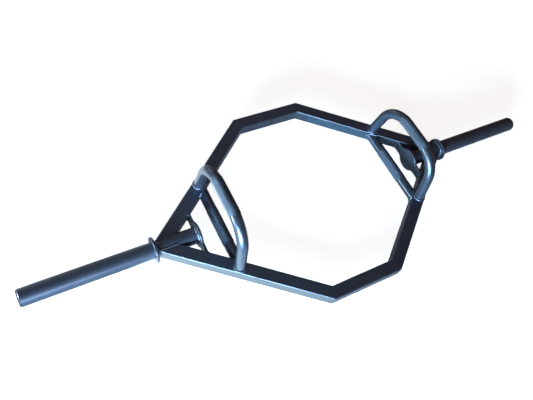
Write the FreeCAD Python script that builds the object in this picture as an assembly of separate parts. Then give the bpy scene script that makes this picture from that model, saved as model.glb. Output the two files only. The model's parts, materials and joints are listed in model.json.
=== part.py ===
import FreeCAD, Part
import math
import os
from FreeCAD import Vector

# A hexagonal trap bar for lifting: a welded frame of square tube to stand in, a loading sleeve at each
# tip, and a low grip and a raised handle at each hand. Lengths are in millimetres, angles in degrees.
# +X runs along the sleeves to the right, +Y to the back, +Z up. The lowest point of the flanges is at Z = 0.

# Frame of square tube
frame_width = 684.0             # outside, front to back
side_length = 244.0             # short side, between its outer corners
tip_reach = 546.0               # middle of the bar to the point where the outer faces of two arms would meet
tube_size = 40.0
tube_wall = 3.0
tube_corner = 4.0               # radius of the tube's outer edges
tube_bore_corner = 1.0          # radius of the tube's inner edges

# Flanges, which stop the weight plates
flange_diameter = 78.0
flange_thickness = 7.0
flange_round = 1.5              # radius of the rim's edges
flange_setback = 11.0           # tip point of the frame to the flange's outer face

# Sleeves, which carry the weight plates
sleeve_diameter = 50.0
sleeve_wall = 5.0
sleeve_chamfer = 1.5
sleeve_step = 0.4               # radial, from the turned loading length to the stub behind the flange
loading_length = 362.0          # flange's outer face to the sleeve's outer end

# Plugs in the sleeves' outer ends
plug_head_diameter = 47.0
plug_head_thickness = 3.0
plug_head_round = 1.2
plug_body_length = 18.0
plug_wall = 2.5
plug_clearance = 0.15           # radial, between the plug's body and the sleeve's bore

# Brace plates, a round boss with an ear to each arm
brace_setback = 151.0           # tip point of the frame to the plate's inner face
brace_thickness = 8.0
brace_boss_diameter = 78.0
brace_ear_height = 34.0
brace_blend = 18.0              # radius between boss and ears
brace_round = 1.5               # radius of the plate's edges

# Low grips, at the level of the frame
low_grip_setback = 221.0        # tip point of the frame to the grip's axis
low_grip_diameter = 33.0
low_grip_wall = 3.0
low_knurl_diameter = 34.2
low_knurl_length = 118.0

# Raised handles, with feet on top of the arms
raised_offset = 7.0             # low grip's axis to the plane of the handle, towards the tip
raised_rise = 158.5             # top of the frame to the axis of the handle's grip
raised_lean = 10.6              # lean of the legs towards each other
raised_bend = 94.0              # radius of the bends, at the tube's axis
raised_diameter = 32.5
raised_wall = 3.0
raised_knurl_diameter = 33.7
raised_knurl_length = 122.0

# Weld beads, the length of a bead's legs
foot_weld = 4.0
grip_weld = 4.0
brace_weld = 3.5
flange_weld = 4.5
boss_weld = 4.0
tip_weld = 3.0

# Places worked out from the sizes above, with the sleeves' axis at Z = 0 until the pieces are written
origin = Vector(0, 0, 0)
along_x = Vector(1, 0, 0)
along_y = Vector(0, 1, 0)
along_z = Vector(0, 0, 1)
tube_half = tube_size / 2
sleeve_radius = sleeve_diameter / 2
stub_radius = sleeve_radius + sleeve_step
arm_angle = math.atan2(frame_width / 2, tip_reach - side_length / 2)
arm_slope = math.tan(arm_angle)
inner_tip_reach = tip_reach - tube_size / math.sin(arm_angle)
middle_tip_reach = (tip_reach + inner_tip_reach) / 2
flange_outer_face = tip_reach - flange_setback
flange_inner_face = flange_outer_face - flange_thickness
sleeve_end = flange_outer_face + loading_length
brace_inner_face = tip_reach - brace_setback
brace_outer_face = brace_inner_face + brace_thickness
low_grip_reach = tip_reach - low_grip_setback
raised_reach = low_grip_reach + raised_offset
axis_height = max(flange_diameter, brace_boss_diameter) / 2
cutter_size = 2 * frame_width


def arm_middle_y(x):
    """Distance from the sleeves' axis to the middle line of an arm, at a place along the bar."""
    return (middle_tip_reach - x) * arm_slope


def arm_inner_y(x):
    """Distance from the sleeves' axis to the inner face of an arm, at a place along the bar."""
    return (inner_tip_reach - x) * arm_slope


def mirrored(shape, x_side, y_side=1):
    """The shape from the right and back quarter, moved to the quarter with these signs."""
    if x_side < 0:
        shape = shape.mirror(origin, along_x)
    if y_side < 0:
        shape = shape.mirror(origin, along_y)
    return shape


def square_bar(length, size, corner):
    """Bar of square section along X from the origin, with round long edges."""
    bar = Part.makeBox(length, size, size, Vector(0, -size / 2, -size / 2))
    long_edges = [edge for edge in bar.Edges if abs(edge.tangentAt(edge.FirstParameter).x) > 0.5]
    return bar.makeFillet(corner, long_edges)


def half_space(point, heading):
    """Large block whose flat face passes through the point and which lies on the side of the heading."""
    block = Part.makeBox(cutter_size, cutter_size, cutter_size, Vector(0, -cutter_size / 2, -cutter_size / 2))
    block.rotate(origin, along_z, heading)
    return block.translated(point)


def round_bar(path, diameter):
    """Solid bar of round section along a path."""
    first = path.OrderedEdges[0]
    start = first.valueAt(first.FirstParameter)
    ring = Part.Wire(Part.makeCircle(diameter / 2, start, first.tangentAt(first.FirstParameter)))
    return path.makePipeShell([ring], True, False)


def bent_path(points, radius):
    """Path through the points, with each corner between them rounded."""
    edges = []
    start = points[0]
    for before, corner, after in zip(points, points[1:], points[2:]):
        arriving = (corner - before).normalize()
        leaving = (after - corner).normalize()
        half_turn = arriving.getAngle(leaving) / 2
        setback = radius * math.tan(half_turn)
        arc_start = corner - arriving * setback
        arc_end = corner + leaving * setback
        inward = (leaving - arriving).normalize()
        arc_middle = corner + inward * (radius / math.cos(half_turn) - radius)
        edges.append(Part.makeLine(start, arc_start))
        edges.append(Part.Arc(arc_start, arc_middle, arc_end).toShape())
        start = arc_end
    edges.append(Part.makeLine(start, points[-1]))
    return Part.Wire(edges)


def ring_weld(centre, tube_axis, tube_diameter, face_normal, leg):
    """Bead along the oval where a round tube meets a flat face at a slant, as a full round ring."""
    slant = tube_axis.getAngle(face_normal)
    minor_radius = tube_diameter / 2
    major_radius = minor_radius / math.cos(slant)
    minor_way = face_normal.cross(tube_axis).normalize()
    major_way = minor_way.cross(face_normal).normalize()
    oval = Part.Ellipse(centre + major_way * major_radius, centre + minor_way * minor_radius, centre)
    return round_bar(Part.Wire(oval.toShape()), 2 * leg)


def write(node, shape):
    """Write one piece, raised so that the bar stands on Z = 0."""
    shape.translated(along_z * axis_height).exportStep("parts/" + node + ".step")


# Arms and short sides, for the right and back quarter

def arm_bar(size, corner):
    """One arm without its bore, or the bore itself, mitred at the corner and ended at the tip."""
    corner_point = Vector(side_length / 2, frame_width / 2, 0)
    span = (tip_reach - side_length / 2) / math.cos(arm_angle)
    bar = square_bar(span + 2 * tube_size, size, corner)
    bar.translate(along_x * -tube_size)
    heading = 180 - math.degrees(arm_angle)
    bar.rotate(origin, along_z, heading)
    bar.translate(along_x * middle_tip_reach)
    mitre_heading = 180 - math.degrees(arm_angle) / 2
    bar = bar.cut(half_space(corner_point, mitre_heading))
    bar = bar.cut(half_space(origin, -90))
    return bar.cut(half_space(along_x * flange_inner_face, 0))


def side_bar(size, corner):
    """One short side without its bore, or the bore itself, mitred at both corners."""
    bar = square_bar(side_length, size, corner)
    bar.translate(Vector(-side_length / 2, frame_width / 2 - tube_half, 0))
    corner_point = Vector(side_length / 2, frame_width / 2, 0)
    end_waste = half_space(corner_point, -math.degrees(arm_angle) / 2)
    return bar.cut(end_waste).cut(mirrored(end_waste, -1))


def stub_solid():
    """The right sleeve's stub without its bore, from the brace plate to the flange's outer face."""
    length = flange_outer_face - brace_outer_face
    return Part.makeCylinder(stub_radius, length, along_x * brace_outer_face, along_x)


tube_bore = tube_size - 2 * tube_wall
arm_back = arm_bar(tube_size, tube_corner).cut(stub_solid())
arm_front = mirrored(arm_back, 1, -1)
both_arms = [arm_back, arm_front]
arm_tube = arm_back.cut(arm_bar(tube_bore, tube_bore_corner))
side_tube = side_bar(tube_size, tube_corner).cut(side_bar(tube_bore, tube_bore_corner))


# Sleeve, plug and flange, on the right

def sleeve_tube():
    """Tube from the brace plate through the tip to the outer end, with a chamfered outer rim."""
    loading = Part.makeCylinder(sleeve_radius, loading_length, along_x * flange_outer_face, along_x)
    rim = [edge for edge in loading.Edges if abs(edge.CenterOfMass.x - sleeve_end) < sleeve_chamfer
           and edge.Closed]
    bore_radius = sleeve_radius - sleeve_wall
    bore = Part.makeCylinder(bore_radius, sleeve_end, along_x * brace_outer_face, along_x)
    return loading.makeChamfer(sleeve_chamfer, rim).fuse(stub_solid()).cut(bore)


def sleeve_plug():
    """Hollow body in the sleeve's bore, with a head on the sleeve's end."""
    body_radius = sleeve_radius - sleeve_wall - plug_clearance
    body = Part.makeCylinder(body_radius, plug_body_length, along_x * sleeve_end, -along_x)
    hollow = Part.makeCylinder(body_radius - plug_wall, plug_body_length, along_x * sleeve_end, -along_x)
    head = Part.makeCylinder(plug_head_diameter / 2, plug_head_thickness, along_x * sleeve_end, along_x)
    outer_face = sleeve_end + plug_head_thickness
    rim = [edge for edge in head.Edges if abs(edge.CenterOfMass.x - outer_face) < plug_head_round
           and edge.Closed]
    return head.makeFillet(plug_head_round, rim).fuse(body.cut(hollow))


def flange_disc():
    """Round disc with rounded rim, bored for the stub."""
    disc = Part.makeCylinder(flange_diameter / 2, flange_thickness, along_x * flange_inner_face, along_x)
    rims = [edge for edge in disc.Edges if edge.Closed]
    return disc.makeFillet(flange_round, rims).cut(stub_solid())


# Brace plate, on the right

def brace_solid():
    """Plate across the tip: a round boss, an ear to each side and hollow blends between them."""
    boss = brace_boss_diameter / 2
    ear = brace_ear_height / 2
    reach = arm_middle_y((brace_inner_face + brace_outer_face) / 2)
    blend_z = ear + brace_blend
    blend_y = math.sqrt((boss + brace_blend) ** 2 - blend_z ** 2)
    share = boss / (boss + brace_blend)
    blend_way = math.atan2(blend_z, blend_y)
    middle_way = (blend_way + math.pi / 2) / 2
    middle_y = blend_y - brace_blend * math.cos(middle_way)
    middle_z = blend_z - brace_blend * math.sin(middle_way)

    def at(y, z):
        return Vector(brace_inner_face, y, z)

    edges = []
    for level in (1, -1):
        edges.append(Part.Arc(at(-blend_y * share, level * blend_z * share), at(0, level * boss),
                              at(blend_y * share, level * blend_z * share)).toShape())
        for side in (1, -1):
            edges.append(Part.Arc(at(side * blend_y * share, level * blend_z * share),
                                  at(side * middle_y, level * middle_z),
                                  at(side * blend_y, level * ear)).toShape())
            edges.append(Part.makeLine(at(side * blend_y, level * ear), at(side * reach, level * ear)))
    for side in (1, -1):
        edges.append(Part.makeLine(at(side * reach, ear), at(side * reach, -ear)))
    outline = Part.Wire(Part.__sortEdges__(edges))
    plate = Part.Face(outline).extrude(along_x * brace_thickness)
    rounded = [edge for edge in plate.Edges
               if abs(edge.tangentAt(edge.FirstParameter).x) < 0.5 and abs(edge.CenterOfMass.y) < reach - ear]
    return plate.makeFillet(brace_round, rounded)


brace_plate = brace_solid().cut(both_arms)


# Low grip and raised handle, on the right

def knurled_band(bar, length):
    """The middle stretch of a bar that runs front to back."""
    slab = Part.makeBox(cutter_size, length, cutter_size,
                        Vector(-cutter_size / 2, -length / 2, -cutter_size / 2))
    return bar.common(slab)


def low_grip_bar(diameter):
    """Straight round bar from the middle of one arm to the middle of the other."""
    reach = arm_middle_y(low_grip_reach)
    start = Vector(low_grip_reach, -reach, 0)
    return Part.makeCylinder(diameter / 2, 2 * reach, start, along_y)


raised_lean_shift = math.tan(math.radians(raised_lean))
raised_foot_y = arm_middle_y(raised_reach)


def raised_point(side, rise):
    """Point on the straight line of one leg, at a height above the top of the frame."""
    return Vector(raised_reach, side * (raised_foot_y - rise * raised_lean_shift), tube_half + rise)


def raised_bar(diameter):
    """Bent round bar from just inside one arm, over the hand, to just inside the other."""
    points = [raised_point(-1, -tube_corner), raised_point(-1, raised_rise),
              raised_point(1, raised_rise), raised_point(1, -tube_corner)]
    return round_bar(bent_path(points, raised_bend), diameter)


low_grip_solid = low_grip_bar(low_grip_diameter)
low_knurl = knurled_band(low_grip_bar(low_knurl_diameter), low_knurl_length)
low_grip_bore = low_grip_bar(low_grip_diameter - 2 * low_grip_wall)
low_grip = low_grip_solid.fuse(low_knurl).cut(low_grip_bore).cut(both_arms)

raised_solid = raised_bar(raised_diameter)
raised_knurl = knurled_band(raised_bar(raised_knurl_diameter), raised_knurl_length)
raised_bore = raised_bar(raised_diameter - 2 * raised_wall)
raised_handle = raised_solid.fuse(raised_knurl).cut(raised_bore).cut(both_arms)


# Weld beads, for the right and back quarter or for the whole right end

def foot_bead():
    """Bead around the foot of the raised handle, on top of the arm."""
    leg_axis = raised_point(1, raised_rise) - raised_point(1, 0)
    ring = ring_weld(raised_point(1, 0), leg_axis, raised_diameter, along_z, foot_weld)
    return ring.cut([raised_solid, arm_back])


def grip_bead():
    """Bead around the end of the low grip, on the inner face of the arm."""
    centre = Vector(low_grip_reach, arm_inner_y(low_grip_reach), 0)
    inner_normal = Vector(math.sin(arm_angle), math.cos(arm_angle), 0)
    ring = ring_weld(centre, along_y, low_grip_diameter, inner_normal, grip_weld)
    return ring.cut([low_grip_solid, arm_back, foot_bead()])


def brace_beads():
    """Upright beads on both sides of an ear, against the inner face of the arm."""
    beads = []
    for x in (brace_inner_face, brace_outer_face):
        foot = Vector(x, arm_inner_y(x), -brace_ear_height / 2)
        beads.append(Part.makeCylinder(brace_weld, brace_ear_height, foot, along_z))
    return Part.makeCompound([bead.cut([brace_plate, arm_back]) for bead in beads])


def flange_bead():
    """Bead behind the flange, around the stub."""
    ring = Part.makeTorus(stub_radius, flange_weld, along_x * flange_inner_face, along_x)
    return ring.cut([stub_solid(), flange_disc()] + both_arms)


def boss_bead():
    """Bead around the stub's inner end, on the brace plate."""
    ring = Part.makeTorus(stub_radius, boss_weld, along_x * brace_outer_face, along_x)
    return ring.cut([stub_solid(), brace_plate])


def tip_beads():
    """Straight beads along the stub, where the top and bottom faces of both arms run into it."""
    seam_y = math.sqrt(max(stub_radius ** 2 - tube_half ** 2, 0))
    seam_start = inner_tip_reach - seam_y / arm_slope
    seam_end = min(tip_reach - seam_y / arm_slope, flange_inner_face - flange_weld)
    beads = []
    for y in (seam_y, -seam_y):
        for z in (tube_half, -tube_half):
            bar = Part.makeCylinder(tip_weld, seam_end - seam_start, Vector(seam_start, y, z), along_x)
            beads.append(bar.cut([stub_solid()] + both_arms))
    return Part.makeCompound(beads)


os.makedirs("parts", exist_ok=True)
for side_name, x_side in (("left", -1), ("right", 1)):
    write("sleeve_" + side_name, mirrored(sleeve_tube(), x_side))
    write("sleeve_plug_" + side_name, mirrored(sleeve_plug(), x_side))
    write("flange_" + side_name, mirrored(flange_disc(), x_side))
    write("brace_plate_" + side_name, mirrored(brace_plate, x_side))
    write("low_grip_" + side_name, mirrored(low_grip, x_side))
    write("raised_handle_" + side_name, mirrored(raised_handle, x_side))
    write("flange_weld_" + side_name, mirrored(flange_bead(), x_side))
    write("boss_weld_" + side_name, mirrored(boss_bead(), x_side))
    write("tip_welds_" + side_name, mirrored(tip_beads(), x_side))
    for end_name, y_side in (("front", -1), ("back", 1)):
        quarter = side_name + "_" + end_name
        write("frame_arm_" + quarter, mirrored(arm_tube, x_side, y_side))
        write("foot_weld_" + quarter, mirrored(foot_bead(), x_side, y_side))
        write("low_grip_weld_" + quarter, mirrored(grip_bead(), x_side, y_side))
        write("brace_welds_" + quarter, mirrored(brace_beads(), x_side, y_side))
for end_name, y_side in (("front", -1), ("back", 1)):
    write("frame_side_" + end_name, mirrored(side_tube, 1, y_side))
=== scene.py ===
import json
import math
import random

import bpy
from mathutils import Matrix, Vector


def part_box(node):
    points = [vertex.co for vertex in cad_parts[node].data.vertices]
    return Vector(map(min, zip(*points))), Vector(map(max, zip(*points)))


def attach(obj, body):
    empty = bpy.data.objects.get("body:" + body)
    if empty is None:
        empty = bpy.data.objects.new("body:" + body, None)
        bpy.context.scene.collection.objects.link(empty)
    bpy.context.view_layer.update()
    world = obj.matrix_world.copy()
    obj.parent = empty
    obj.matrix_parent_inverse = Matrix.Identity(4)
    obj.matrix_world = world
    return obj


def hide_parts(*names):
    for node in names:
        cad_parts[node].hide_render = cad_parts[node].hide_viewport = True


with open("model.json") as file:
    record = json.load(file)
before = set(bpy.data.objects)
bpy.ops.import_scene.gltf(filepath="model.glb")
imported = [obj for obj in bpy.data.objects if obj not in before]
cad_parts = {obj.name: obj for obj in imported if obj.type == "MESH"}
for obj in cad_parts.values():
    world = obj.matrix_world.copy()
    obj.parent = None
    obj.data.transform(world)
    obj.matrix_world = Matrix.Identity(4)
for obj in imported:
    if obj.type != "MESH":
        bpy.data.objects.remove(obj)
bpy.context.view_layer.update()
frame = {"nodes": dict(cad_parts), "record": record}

SIDES = {"left": -1, "right": 1}
ENDS = {"front": -1, "back": 1}

# Sizes repeat those of the part, in metres. Angles are in degrees where no comment says otherwise.
TOP_OF_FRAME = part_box("frame_side_front")[1].z
SLEEVE_AXIS = (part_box("sleeve_left")[0].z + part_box("sleeve_left")[1].z) / 2
FRAME_WIDTH = 0.684
SIDE_LENGTH = 0.244
TIP_REACH = 0.546
TUBE_SIZE = 0.040
STUB_RADIUS = 0.0254
FLANGE_FACE = 0.528             # middle of the bar to the flange's inner face
BRACE_FACES = (0.395, 0.403)    # middle of the bar to both faces of the brace plate
BRACE_EAR_HEIGHT = 0.034
LOW_REACH = 0.325
LOW_RADIUS = 0.0165
RAISED_REACH = 0.332
RAISED_RADIUS = 0.01625
RAISED_LEAN = 10.6
RAISED_BEND = 0.094
RAISED_STRAIGHT_HALF = 0.03885
ARM_ANGLE = math.atan2(FRAME_WIDTH / 2, TIP_REACH - SIDE_LENGTH / 2)    # in radians
INNER_TIP_REACH = TIP_REACH - TUBE_SIZE / math.sin(ARM_ANGLE)
MIDDLE_TIP_REACH = (TIP_REACH + INNER_TIP_REACH) / 2

# Knurled bands of the grips
LOW_BAND_RADIUS = 0.0171
LOW_BAND_LENGTH = 0.118
RAISED_BAND_RADIUS = 0.01685
RAISED_BAND_LENGTH = 0.1224     # along the tube's axis
RAISED_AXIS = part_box("raised_handle_left")[1].z - RAISED_BAND_RADIUS
KNURL_DEPTH = 0.00035
KNURL_SINK = 0.0008             # how far the bands' ends dip, to end under the smooth tube
KNURL_SIDES = 106
KNURL_STEP = 0.00125

# Weld beads: the radius of each, and the ripples along them
FOOT_WELD = 0.004
GRIP_WELD = 0.004
BRACE_WELD = 0.0035
FLANGE_WELD = 0.0045
BOSS_WELD = 0.004
TIP_WELD = 0.003
RIPPLE_PITCH = 0.0032
RIPPLE_SHARE = 0.08             # of the bead's radius
RIPPLE_MIDDLE = 0.6             # level of a ripple at which the bead has its own radius
RIPPLE_HEIGHTS = (0.7, 1.3)     # least and most of the uneven ripples, as a share of the usual one
RIPPLE_CURL = 1.4               # how far a ripple trails at the bead's sides, in radians of its pitch
RIPPLE_STATIONS = 7             # rings of points along one ripple
BEAD_SIDES = 20
BEAD_END_SHARE = 0.1            # of the radius, at the tip of an open bead
TIP_WELD_LEAN = 0.6             # how far the beads along the stub bulge sideways for each step up

# Plugs in the sleeves' ends
PLUG_BORE = 0.01735             # radius of the hollow behind the head
PLUG_RADIUS = 0.01985
PLUG_DEPTH = 0.018
PLUG_HEAD = 0.003               # thickness of the head
PLUG_HEAD_RADIUS = 0.0235
PLUG_ROUND = 0.0012
PLUG_ROUND_STEPS = 5
PLUG_DISH = 0.0007              # depth of the dish in the head
PLUG_DISH_RADIUS = 0.0185
PLUG_GATE_RADIUS = 0.0022
PLUG_SIDES = 96
PLUG_SHARP_ANGLE = 35           # edges of the plug that turn by more than this stay sharp

# Camera, as in the photograph
CAMERA_PLACE = Vector((-0.7965, -0.6164, 1.4550))
CAMERA_HEADING = 44.893         # from +Y towards +X
CAMERA_TILT = 57.114            # below the horizon
CAMERA_ROLL = 20.71
CAMERA_LENS = 36.4546           # in millimetres, as is the sensor
CAMERA_SENSOR = 36.0
CAMERA_NEAR = 0.01              # nearest distance that shows

# Coats: lumps to the metre and octaves of each noise, and depths of relief
CLOUDS = {"scale": 14.0, "detail": 4.0}
CLOUD_STOPS = (0.3, 0.7)        # of the noise, where a coat is darkest and lightest
SCUFFS = {"scale": 120.0, "detail": 6.0}
SCUFF_CHANGE = 0.1              # of the roughness, to both sides
LUMPS = {"scale": 260.0, "detail": 1.0}
LUMP_DEPTH = 0.00004
SPECKS = {"scale": 1100.0, "detail": 2.0}
SPECK_DEPTH = 0.00003
CLEAR_WEIGHT = 0.6              # of the thin clear layer on a coat
CLEAR_ROUGHNESS = 0.4

# Plastic of the plugs
GRAIN = {"scale": 1400.0, "detail": 2.0}
GRAIN_DEPTH = 0.00008
GRAIN_STOPS = (0.35, 0.65)
PLASTIC_DARK = (0.010, 0.010, 0.012)
PLASTIC_LIGHT = (0.020, 0.020, 0.022)
PLASTIC_ROUGHNESS = (0.45, 0.6)

# Floor
WHITE = (1, 1, 1, 1)
FLOOR_SIZE = 14.0
FLOOR_COLOUR = (0.62, 0.62, 0.62, 1)
FLOOR_ROUGHNESS = 0.9
FLOOR_MATT = (0.85, 1, 1, 1)    # to the camera: cool, as the room's own light is warm
FLOOR_SHINE = (0.83, 1.0)       # light of its own that the camera sees, by the bar and far off
FLOOR_SHINE_REACH = (1.1, 1.7)  # from the middle of the bar to where each of these holds
FLOOR_MIRRORED = 0.03           # share of white in the floor that the coats reflect

# Light: ways are from the bar to the light
ROOM_DIM = (0.078, 0.030, 0.022, 1)
BACK_FILL = {"way": (-0.174, 0.984, 0.035), "strength": 1.1, "sharpness": 20}
HIGH_FILL = {"way": (0.179, 0.624, 0.760), "strength": 0.28, "sharpness": 25}
RIGHT_FILL = {"way": (0.940, -0.341, 0.035), "strength": 0.10, "sharpness": 6}
LAMP_SPREAD = 60
CARD_HEIGHT = 0.0005            # of the cards above the floor


def material(name):
    """New material with its node tree and its shader."""
    made = bpy.data.materials.new(name)
    made.use_nodes = True
    tree = made.node_tree
    return made, tree, tree.nodes["Principled BSDF"]


def feed(tree, socket, value):
    """Link a socket to another one, or set it to a value."""
    if isinstance(value, bpy.types.NodeSocket):
        tree.links.new(value, socket)
    else:
        socket.default_value = value


def node(tree, kind, **inputs):
    """Add a node and feed its inputs by name."""
    made = tree.nodes.new(kind)
    for name, value in inputs.items():
        feed(tree, made.inputs[name.replace("_", " ")], value)
    return made


def ramp(tree, factor, stops):
    """Colour ramp between two colours, with the place of each."""
    made = node(tree, "ShaderNodeValToRGB", Fac=factor)
    for element, (place, colour) in zip(made.color_ramp.elements, stops):
        element.position = place
        element.color = (*colour, 1.0)
    return made.outputs["Color"]


def ranged(tree, value, low, high, start=0.0, end=1.0):
    """Map a value between a start and an end to a range."""
    made = node(tree, "ShaderNodeMapRange", Value=value, From_Min=start, From_Max=end,
                To_Min=low, To_Max=high)
    return made.outputs["Result"]


def noise(tree, place, scale, detail):
    """Soft noise from 0 to 1, with this many lumps to the metre."""
    made = node(tree, "ShaderNodeTexNoise", Vector=place, Scale=scale, Detail=detail)
    return made.outputs["Fac"]


def bump(tree, height, depth, below=None):
    """Relief of a height map, in metres, on top of another relief."""
    made = node(tree, "ShaderNodeBump", Height=height, Strength=1.0, Distance=depth)
    if below:
        tree.links.new(below, made.inputs["Normal"])
    return made.outputs["Normal"]


def coat(name, dark, light, roughness, metallic, pebble, stretch=(1, 1, 1)):
    """Satin coat on steel: clouds of tone, scuffs in the gloss and the pebble of a sprayed coat."""
    made, tree, shader = material(name)
    place = tree.nodes.new("ShaderNodeTexCoord").outputs["Object"]
    drawn = node(tree, "ShaderNodeMapping", Vector=place, Scale=stretch).outputs["Vector"]
    clouds = noise(tree, place, **CLOUDS)
    scuffs = noise(tree, drawn, **SCUFFS)
    tone = ramp(tree, clouds, zip(CLOUD_STOPS, (dark, light)))
    gloss = ranged(tree, scuffs, roughness - SCUFF_CHANGE, roughness + SCUFF_CHANGE)
    relief = bump(tree, noise(tree, place, **LUMPS), LUMP_DEPTH * pebble)
    relief = bump(tree, noise(tree, place, **SPECKS), SPECK_DEPTH * pebble, relief)
    tree.links.new(tone, shader.inputs["Base Color"])
    tree.links.new(gloss, shader.inputs["Roughness"])
    tree.links.new(relief, shader.inputs["Normal"])
    shader.inputs["Metallic"].default_value = metallic
    shader.inputs["Coat Weight"].default_value = CLEAR_WEIGHT
    shader.inputs["Coat Roughness"].default_value = CLEAR_ROUGHNESS
    return made


def moulded_plastic(name):
    """Black plastic with a fine moulded grain."""
    made, tree, shader = material(name)
    place = tree.nodes.new("ShaderNodeTexCoord").outputs["Object"]
    grain = noise(tree, place, **GRAIN)
    tone = ramp(tree, grain, zip(GRAIN_STOPS, (PLASTIC_DARK, PLASTIC_LIGHT)))
    tree.links.new(tone, shader.inputs["Base Color"])
    tree.links.new(ranged(tree, grain, *PLASTIC_ROUGHNESS), shader.inputs["Roughness"])
    tree.links.new(bump(tree, grain, GRAIN_DEPTH), shader.inputs["Normal"])
    return made


frame_coat = coat("frame_coat", dark=(0.066, 0.098, 0.162), light=(0.084, 0.124, 0.200),
                  roughness=0.36, metallic=0.8, pebble=1.0)
sleeve_coat = coat("sleeve_coat", dark=(0.075, 0.113, 0.190), light=(0.095, 0.142, 0.236),
                   roughness=0.38, metallic=0.8, pebble=1.0, stretch=(0.06, 1, 1))
grip_coat = coat("grip_coat", dark=(0.082, 0.128, 0.215), light=(0.098, 0.150, 0.252),
                 roughness=0.31, metallic=0.85, pebble=0.4)
weld_coat = coat("weld_coat", dark=(0.082, 0.128, 0.215), light=(0.098, 0.150, 0.252),
                 roughness=0.30, metallic=0.85, pebble=0.4)
knurl_coat = coat("knurl_coat", dark=(0.076, 0.124, 0.202), light=(0.091, 0.148, 0.240),
                  roughness=0.52, metallic=0.8, pebble=0.4)
plug_plastic = moulded_plastic("plug_plastic")
SLOT_MATERIALS = {"frame_coat": frame_coat, "sleeve_coat": sleeve_coat, "grip_coat": grip_coat,
                  "weld_coat": weld_coat, "plug_plastic": plug_plastic}

for row in frame["record"]["subparts"]:
    cad_node = frame["nodes"][row["node"]]
    cad_node.data.materials.clear()
    cad_node.data.materials.append(SLOT_MATERIALS[row["material_slot"]])


def add_piece(name, points, faces, finish, smooth=True):
    """New piece of the bar from points and faces, in the finish of a slot."""
    mesh = bpy.data.meshes.new(name)
    mesh.from_pydata(points, [], faces)
    mesh.validate()
    for polygon in mesh.polygons:
        polygon.use_smooth = smooth
    mesh.materials.append(finish)
    piece = bpy.data.objects.new(name, mesh)
    bpy.context.scene.collection.objects.link(piece)
    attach(piece, "root")
    return piece


def ring(centre, first_way, second_way, radii):
    """Points around a centre, one for each radius."""
    points = []
    for index, radius in enumerate(radii):
        angle = 2 * math.pi * index / len(radii)
        points.append(centre + radius * (math.cos(angle) * first_way + math.sin(angle) * second_way))
    return points


def tube_faces(ring_count, sides, closed, first):
    """Faces between rings of points that start at a point's number."""
    faces = []
    for row in range(ring_count if closed else ring_count - 1):
        for side in range(sides):
            here = first + row * sides
            after = first + (row + 1) % ring_count * sides
            beside = (side + 1) % sides
            faces.append((here + side, here + beside, after + beside, after + side))
    return faces


def cap_faces(ring_count, sides, first):
    """Faces that close the first and the last ring of an open tube."""
    last = first + (ring_count - 1) * sides
    return [tuple(reversed(range(first, first + sides))), tuple(range(last, last + sides))]


# Knurling

def low_station(x, place):
    """Point and heading on the axis of a low grip, at a distance from its middle."""
    return Vector((x, place, SLEEVE_AXIS)), Vector((0, 1, 0))


def raised_station(x, place):
    """Point and heading on the axis of a raised handle, at a distance along it from its middle."""
    turn = max(abs(place) - RAISED_STRAIGHT_HALF, 0) / RAISED_BEND
    sign = math.copysign(1, place)
    y = sign * (min(abs(place), RAISED_STRAIGHT_HALF) + RAISED_BEND * math.sin(turn))
    point = Vector((x, y, RAISED_AXIS - RAISED_BEND * (1 - math.cos(turn))))
    return point, Vector((0, math.cos(turn), -sign * math.sin(turn)))


def knurl_faces(ring_count):
    """Triangles between the rings of a band, with edges along the grooves, and a cap at each end."""
    faces = []
    for row in range(ring_count - 1):
        for side in range(KNURL_SIDES):
            here = row * KNURL_SIDES + side
            beside = row * KNURL_SIDES + (side + 1) % KNURL_SIDES
            after = here + KNURL_SIDES
            after_beside = beside + KNURL_SIDES
            if (row + side) % 2 == 1:
                faces += [(here, beside, after), (beside, after_beside, after)]
            else:
                faces += [(here, beside, after_beside), (here, after_beside, after)]
    return faces + cap_faces(ring_count, KNURL_SIDES, 0)


def knurl(name, x, station, radius, length):
    """Diamond knurling on a band: rows of pyramids between two sets of crossed grooves."""
    rows = 2 * round(length / KNURL_STEP / 2)
    side_way = Vector((1, 0, 0))
    points = []
    for row in range(-1, rows + 2):
        centre, heading = station(x, length * (min(max(row, 0), rows) / rows - 0.5))
        if row in (-1, rows + 1):
            radii = [radius - KNURL_SINK] * KNURL_SIDES
        else:
            radii = [radius + KNURL_DEPTH * ((row + side) % 2 == 0) for side in range(KNURL_SIDES)]
        points += ring(centre, side_way, heading.cross(side_way), radii)
    add_piece(name, points, knurl_faces(rows + 3), knurl_coat, smooth=False)


for side_name in SIDES:
    low_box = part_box("low_grip_" + side_name)
    raised_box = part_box("raised_handle_" + side_name)
    knurl("low_knurl_" + side_name, (low_box[0].x + low_box[1].x) / 2, low_station,
          LOW_BAND_RADIUS, LOW_BAND_LENGTH)
    knurl("raised_knurl_" + side_name, (raised_box[0].x + raised_box[1].x) / 2, raised_station,
          RAISED_BAND_RADIUS, RAISED_BAND_LENGTH)


# Weld beads

def arm_inner_y(x):
    """Distance from the sleeves' axis to the inner face of an arm, at a place along the bar."""
    return (INNER_TIP_REACH - x) * math.tan(ARM_ANGLE)


def arm_middle_y(x):
    """Distance from the sleeves' axis to the middle line of an arm, at a place along the bar."""
    return (MIDDLE_TIP_REACH - x) * math.tan(ARM_ANGLE)


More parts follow.
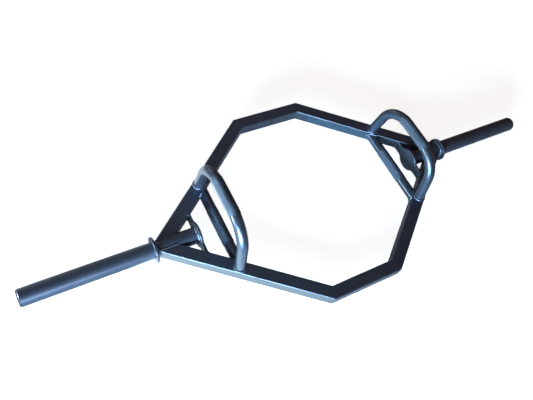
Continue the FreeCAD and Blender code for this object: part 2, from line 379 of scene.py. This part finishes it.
def oval_path(centre, long_way, short_way, face_normal):
    """Closed path around a tube's foot, with the way that the bead bulges."""
    length = 2 * math.pi * math.sqrt((long_way.length_squared + short_way.length_squared) / 2)
    ripples = round(length / RIPPLE_PITCH)
    stations = []
    for index in range(ripples * RIPPLE_STATIONS):
        angle = 2 * math.pi * index / (ripples * RIPPLE_STATIONS)
        offset = math.cos(angle) * long_way + math.sin(angle) * short_way
        heading = math.cos(angle) * short_way - math.sin(angle) * long_way
        stations.append((centre + offset, heading.normalized(), offset.normalized() + face_normal))
    return stations


def straight_path(start, end, bulge):
    """Open path along a seam, with the way that the bead bulges."""
    heading = (end - start).normalized()
    count = round((end - start).length / RIPPLE_PITCH) * RIPPLE_STATIONS
    return [(start.lerp(end, index / count), heading, bulge) for index in range(count + 1)]


def end_taper(index, last, spacing, radius):
    """Share of the radius near the ends of an open bead, which are round."""
    reach = min(index, last - index) * spacing
    short = 1 - min(reach / radius, 1)
    return max(math.sqrt(1 - short ** 2), BEAD_END_SHARE)


def bead_rings(stations, radius, closed, chance):
    """Rings of points of a bead, with curved ripples of uneven height."""
    spacing = RIPPLE_PITCH / RIPPLE_STATIONS
    ripples = len(stations) // RIPPLE_STATIONS + 2
    heights = [chance.uniform(*RIPPLE_HEIGHTS) for _ in range(ripples)]
    rings = []
    for index, (centre, heading, bulge) in enumerate(stations):
        outward = (bulge - heading * bulge.dot(heading)).normalized()
        sideways = heading.cross(outward)
        share = 1 if closed else end_taper(index, len(stations) - 1, spacing, radius)
        height = RIPPLE_SHARE * heights[index // RIPPLE_STATIONS]
        radii = []
        for side in range(BEAD_SIDES):
            lag = RIPPLE_CURL * (1 - math.cos(2 * math.pi * side / BEAD_SIDES)) / 2
            wave = abs(math.sin(math.pi * index / RIPPLE_STATIONS + lag))
            radii.append(radius * share * (1 + height * (wave - RIPPLE_MIDDLE)))
        rings.append(ring(centre, outward, sideways, radii))
    return rings


def weld(cad_name, paths, radius, closed, finish=weld_coat):
    """Rippled beads in place of the plain ones of a node."""
    chance = random.Random(cad_name)
    points = []
    faces = []
    for stations in paths:
        rings = bead_rings(stations, radius, closed, chance)
        faces += tube_faces(len(rings), BEAD_SIDES, closed, len(points))
        if not closed:
            faces += cap_faces(len(rings), BEAD_SIDES, len(points))
        for one_ring in rings:
            points += one_ring
    piece = add_piece("rippled_" + cad_name, points, faces, finish)
    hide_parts(cad_name)


def foot_path(x_side, y_side):
    """Path around the foot of a raised handle, on top of the arm."""
    centre = Vector((x_side * RAISED_REACH, y_side * arm_middle_y(RAISED_REACH), TOP_OF_FRAME))
    long_way = Vector((0, RAISED_RADIUS / math.cos(math.radians(RAISED_LEAN)), 0))
    return oval_path(centre, long_way, Vector((RAISED_RADIUS, 0, 0)), Vector((0, 0, 1)))


def grip_path(x_side, y_side):
    """Path around the end of a low grip, on the inner face of the arm."""
    centre = Vector((x_side * LOW_REACH, y_side * arm_inner_y(LOW_REACH), SLEEVE_AXIS))
    normal = Vector((-x_side * math.sin(ARM_ANGLE), -y_side * math.cos(ARM_ANGLE), 0))
    long_way = normal.cross(Vector((0, 0, 1))) * (LOW_RADIUS / math.cos(ARM_ANGLE))
    return oval_path(centre, long_way, Vector((0, 0, LOW_RADIUS)), normal)


def stub_path(x, face_way):
    """Path around the stub of a sleeve, against a face across the bar."""
    centre = Vector((x, 0, SLEEVE_AXIS))
    return oval_path(centre, Vector((0, STUB_RADIUS, 0)), Vector((0, 0, STUB_RADIUS)),
                     Vector((face_way, 0, 0)))


def brace_paths(x_side, y_side):
    """Upright seams on both sides of a brace plate's ear, against the inner face of the arm."""
    arm_normal = Vector((-x_side * math.sin(ARM_ANGLE), -y_side * math.cos(ARM_ANGLE), 0))
    half = Vector((0, 0, BRACE_EAR_HEIGHT / 2))
    paths = []
    for x, plate_way in zip(BRACE_FACES, (-1, 1)):
        middle = Vector((x_side * x, y_side * arm_inner_y(x), SLEEVE_AXIS))
        bulge = arm_normal + Vector((x_side * plate_way, 0, 0))
        paths.append(straight_path(middle - half, middle + half, bulge))
    return paths


def tip_paths(x_side):
    """Seams along the stub, where the top and bottom faces of both arms run into it."""
    half = TUBE_SIZE / 2
    y = math.sqrt(STUB_RADIUS ** 2 - half ** 2)
    start = INNER_TIP_REACH - y / math.tan(ARM_ANGLE)
    end = FLANGE_FACE - FLANGE_WELD
    paths = []
    for y_side in (1, -1):
        for z_side in (1, -1):
            z = SLEEVE_AXIS + z_side * half
            first, last = (Vector((x_side * x, y_side * y, z)) for x in (start, end))
            paths.append(straight_path(first, last, Vector((0, y_side * TIP_WELD_LEAN, z_side))))
    return paths


for side_name, x_side in SIDES.items():
    flange_path = stub_path(x_side * FLANGE_FACE, -x_side)
    boss_path = stub_path(x_side * BRACE_FACES[1], x_side)
    weld("flange_weld_" + side_name, [flange_path], FLANGE_WELD, closed=True)
    weld("boss_weld_" + side_name, [boss_path], BOSS_WELD, closed=True)
    weld("tip_welds_" + side_name, tip_paths(x_side), TIP_WELD, closed=False, finish=frame_coat)
    for end_name, y_side in ENDS.items():
        quarter = side_name + "_" + end_name
        weld("foot_weld_" + quarter, [foot_path(x_side, y_side)], FOOT_WELD, closed=True)
        weld("low_grip_weld_" + quarter, [grip_path(x_side, y_side)], GRIP_WELD, closed=True)
        weld("brace_welds_" + quarter, brace_paths(x_side, y_side), BRACE_WELD, closed=False)


# Plugs in the sleeves' ends

def plug_profile():
    """Distances from the sleeve's end and its axis, from the hollow round the rim to the middle."""
    points = [(0, 0), (0, PLUG_BORE), (-PLUG_DEPTH, PLUG_BORE), (-PLUG_DEPTH, PLUG_RADIUS),
              (0, PLUG_RADIUS), (0, PLUG_HEAD_RADIUS)]
    for step in range(PLUG_ROUND_STEPS + 1):
        angle = math.pi / 2 * step / PLUG_ROUND_STEPS
        points.append((PLUG_HEAD - PLUG_ROUND + PLUG_ROUND * math.sin(angle),
                       PLUG_HEAD_RADIUS - PLUG_ROUND + PLUG_ROUND * math.cos(angle)))
    dish = PLUG_HEAD - PLUG_DISH
    gate = PLUG_DISH / 2
    points += [(PLUG_HEAD, PLUG_DISH_RADIUS), (dish, PLUG_DISH_RADIUS - PLUG_DISH),
               (dish, PLUG_GATE_RADIUS), (dish + gate, PLUG_GATE_RADIUS - gate), (dish + gate, 0)]
    return points


def plug(side_name, x_side):
    """Moulded plug, turned from its profile, with a dished head and the mark of its gate."""
    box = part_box("sleeve_plug_" + side_name)
    end = max(abs(box[0].x), abs(box[1].x)) - PLUG_HEAD
    profile = plug_profile()
    points = [Vector((x_side * (end + profile[0][0]), 0, SLEEVE_AXIS))]
    for out, radius in profile[1:-1]:
        centre = Vector((x_side * (end + out), 0, SLEEVE_AXIS))
        points += ring(centre, Vector((0, x_side, 0)), Vector((0, 0, 1)), [radius] * PLUG_SIDES)
    points.append(Vector((x_side * (end + profile[-1][0]), 0, SLEEVE_AXIS)))
    faces = tube_faces(len(profile) - 2, PLUG_SIDES, closed=False, first=1)
    last = len(points) - 1
    for side in range(PLUG_SIDES):
        beside = (side + 1) % PLUG_SIDES
        faces.append((0, 1 + beside, 1 + side))
        faces.append((last, last - PLUG_SIDES + side, last - PLUG_SIDES + beside))
    piece = add_piece("moulded_plug_" + side_name, points, faces, plug_plastic)
    piece.data.set_sharp_from_angle(angle=math.radians(PLUG_SHARP_ANGLE))
    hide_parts("sleeve_plug_" + side_name)


for side_name, x_side in SIDES.items():
    plug(side_name, x_side)


# Floor, light and camera

def add_plane(name, corners):
    """Flat face that belongs to the studio and not to the bar."""
    mesh = bpy.data.meshes.new(name)
    mesh.from_pydata(corners, [], [(0, 1, 2, 3)])
    plane = bpy.data.objects.new(name, mesh)
    bpy.context.scene.collection.objects.link(plane)
    return plane


def calculate(tree, operation, first, second):
    """Result of a sum on two values."""
    made = tree.nodes.new("ShaderNodeMath")
    made.operation = operation
    feed(tree, made.inputs[0], first)
    feed(tree, made.inputs[1], second)
    return made.outputs["Value"]


def add_lights(tree, first, second):
    """Sum of two lights."""
    made = tree.nodes.new("ShaderNodeAddShader")
    tree.links.new(first, made.inputs[0])
    tree.links.new(second, made.inputs[1])
    return made.outputs["Shader"]


def mix_shaders(tree, share, first, second):
    """Blend of two shaders, where a share of 1 is all the second."""
    made = node(tree, "ShaderNodeMixShader", Fac=share)
    tree.links.new(first, made.inputs[1])
    tree.links.new(second, made.inputs[2])
    return made.outputs["Shader"]


def camera_share(tree):
    """1 where the camera looks, straight or through glass, and 0 for all other light."""
    path = tree.nodes.new("ShaderNodeLightPath").outputs
    return calculate(tree, "MAXIMUM", path["Is Camera Ray"], path["Is Transmission Ray"])


def camera_floor(tree):
    """Floor as the camera sees it: a light of its own, and a matt part that takes the bar's shadow."""
    place = tree.nodes.new("ShaderNodeTexCoord").outputs["Object"]
    reach = tree.nodes.new("ShaderNodeVectorMath")
    reach.operation = "LENGTH"
    tree.links.new(place, reach.inputs[0])
    level = ranged(tree, reach.outputs["Value"], *FLOOR_SHINE, *FLOOR_SHINE_REACH)
    shine = node(tree, "ShaderNodeEmission", Color=WHITE, Strength=level).outputs["Emission"]
    matt = node(tree, "ShaderNodeBsdfDiffuse", Color=FLOOR_MATT).outputs["BSDF"]
    return add_lights(tree, shine, matt)


def make_floor():
    """Pale floor: white to the camera apart from the bar's shadow, and dim in the reflections."""
    half = FLOOR_SIZE / 2
    floor = add_plane("floor", [(-half, -half, 0), (half, -half, 0), (half, half, 0), (-half, half, 0)])
    made, tree, shader = material("floor")
    shader.inputs["Base Color"].default_value = FLOOR_COLOUR
    shader.inputs["Roughness"].default_value = FLOOR_ROUGHNESS
    white = node(tree, "ShaderNodeEmission", Color=WHITE, Strength=1.0).outputs["Emission"]
    glossy = tree.nodes.new("ShaderNodeLightPath").outputs["Is Glossy Ray"]
    mirrored = calculate(tree, "MULTIPLY", glossy, FLOOR_MIRRORED)
    dim = mix_shaders(tree, mirrored, shader.outputs["BSDF"], white)
    surface = mix_shaders(tree, camera_share(tree), dim, camera_floor(tree))
    tree.links.new(surface, tree.nodes["Material Output"].inputs["Surface"])
    floor.data.materials.append(made)


def make_card(name, x_side, y_side, runs, reaches, strengths, colour):
    """Bright card on the floor beside an arm, which only shows as a gleam on the coats.

    Runs go from the arm's tip along it, reaches outward from its outer face, and strengths along X.
    """
    along = Vector((-x_side * math.cos(ARM_ANGLE), y_side * math.sin(ARM_ANGLE), 0))
    outward = Vector((x_side * math.sin(ARM_ANGLE), y_side * math.cos(ARM_ANGLE), 0))
    tip = Vector((x_side * TIP_REACH, 0, CARD_HEIGHT))
    near = [tip + along * run + outward * reaches[0] for run in runs]
    far = [tip + along * run + outward * reaches[1] for run in reversed(runs)]
    card = add_plane(name, near + far)
    card.visible_camera = False
    card.visible_diffuse = False
    card.visible_transmission = False
    card.visible_shadow = False
    made, tree, _ = material(name)
    place = tree.nodes.new("ShaderNodeTexCoord").outputs["Generated"]
    along_x = node(tree, "ShaderNodeSeparateXYZ", Vector=place).outputs["X"]
    level = ranged(tree, along_x, *strengths)
    light = node(tree, "ShaderNodeEmission", Color=(*colour, 1), Strength=level)
    tree.links.new(light.outputs["Emission"], tree.nodes["Material Output"].inputs["Surface"])
    card.data.materials.append(made)


def glow(tree, way, strength, sharpness):
    """Light that is strongest from one way and falls off around it."""
    facing = tree.nodes.new("ShaderNodeVectorMath")
    facing.operation = "DOT_PRODUCT"
    heading = tree.nodes.new("ShaderNodeTexCoord").outputs["Generated"]
    tree.links.new(heading, facing.inputs[0])
    facing.inputs[1].default_value = way
    ahead = calculate(tree, "MAXIMUM", facing.outputs["Value"], 0.0)
    share = calculate(tree, "POWER", ahead, sharpness)
    level = calculate(tree, "MULTIPLY", share, strength)
    return node(tree, "ShaderNodeBackground", Color=WHITE, Strength=level).outputs["Background"]


def make_world():
    """Dim room with soft fills from behind, from above and from the right. White to the camera."""
    world = bpy.data.worlds.new("room")
    bpy.context.scene.world = world
    world.use_nodes = True
    tree = world.node_tree
    room = node(tree, "ShaderNodeBackground", Color=ROOM_DIM, Strength=1.0).outputs["Background"]
    for fill in (BACK_FILL, HIGH_FILL, RIGHT_FILL):
        room = add_lights(tree, room, glow(tree, **fill))
    white = tree.nodes["Background"]
    white.inputs["Color"].default_value = WHITE
    surface = mix_shaders(tree, camera_share(tree), room, white.outputs["Background"])
    tree.links.new(surface, tree.nodes["World Output"].inputs["Surface"])


def make_lamp(name, place, target, size, power, colour):
    """Soft rectangular lamp turned to a target."""
    lamp = bpy.data.lights.new(name, "AREA")
    lamp.shape = "RECTANGLE"
    lamp.size, lamp.size_y = size
    lamp.energy = power
    lamp.color = colour
    lamp.spread = math.radians(LAMP_SPREAD)
    holder = bpy.data.objects.new(name, lamp)
    holder.location = place
    holder.rotation_euler = (Vector(target) - Vector(place)).to_track_quat("-Z", "Y").to_euler()
    holder.visible_camera = False
    bpy.context.scene.collection.objects.link(holder)


def make_camera():
    """Camera at the photograph's place, turned, tilted and rolled as it was."""
    lens = bpy.data.cameras.new("camera")
    lens.lens = CAMERA_LENS
    lens.sensor_width = CAMERA_SENSOR
    lens.clip_start = CAMERA_NEAR
    camera = bpy.data.objects.new("camera", lens)
    turn = Matrix.Rotation(math.radians(-CAMERA_HEADING), 4, "Z")
    tilt = Matrix.Rotation(math.radians(90 - CAMERA_TILT), 4, "X")
    roll = Matrix.Rotation(math.radians(CAMERA_ROLL), 4, "Z")
    camera.matrix_world = Matrix.Translation(CAMERA_PLACE) @ turn @ tilt @ roll
    bpy.context.scene.collection.objects.link(camera)
    bpy.context.scene.camera = camera


make_floor()
make_world()
make_card("front_card", x_side=-1, y_side=-1, runs=(-0.02, 0.60), reaches=(0.0, 0.056),
          strengths=(2.4, 1.4), colour=(0.84, 1.0, 0.97))
make_card("front_card_edge", x_side=-1, y_side=-1, runs=(0.10, 0.30), reaches=(0.056, 0.16),
          strengths=(2.4, 1.8), colour=(0.86, 1.0, 0.92))
make_card("back_card", x_side=-1, y_side=1, runs=(0.10, 0.45), reaches=(0.03, 0.32),
          strengths=(1.35, 1.35), colour=(0.98, 1.0, 0.98))
make_card("inner_card", x_side=1, y_side=1, runs=(0.24, 0.49), reaches=(-0.04, -0.09),
          strengths=(1.1, 0.95), colour=(0.32, 0.79, 1.0))
make_lamp("near_window", place=(-1.5, -1.4, 0.36), target=(-0.1, -0.1, 0.05), size=(1.4, 0.6),
          power=19.8, colour=(0.65, 0.89, 1.0))
make_lamp("front_window", place=(-0.95, -1.6, 0.45), target=(-0.6, -0.1, 0.05), size=(0.8, 0.5),
          power=0.8, colour=(0.84, 0.86, 1.0))
make_lamp("left_window", place=(-2.05, 0.45, 0.10), target=(-0.33, 0.05, 0.16), size=(0.8, 0.20),
          power=4.6, colour=(0.90, 1.0, 0.93))
make_camera()
bpy.context.scene.view_settings.view_transform = "Standard"
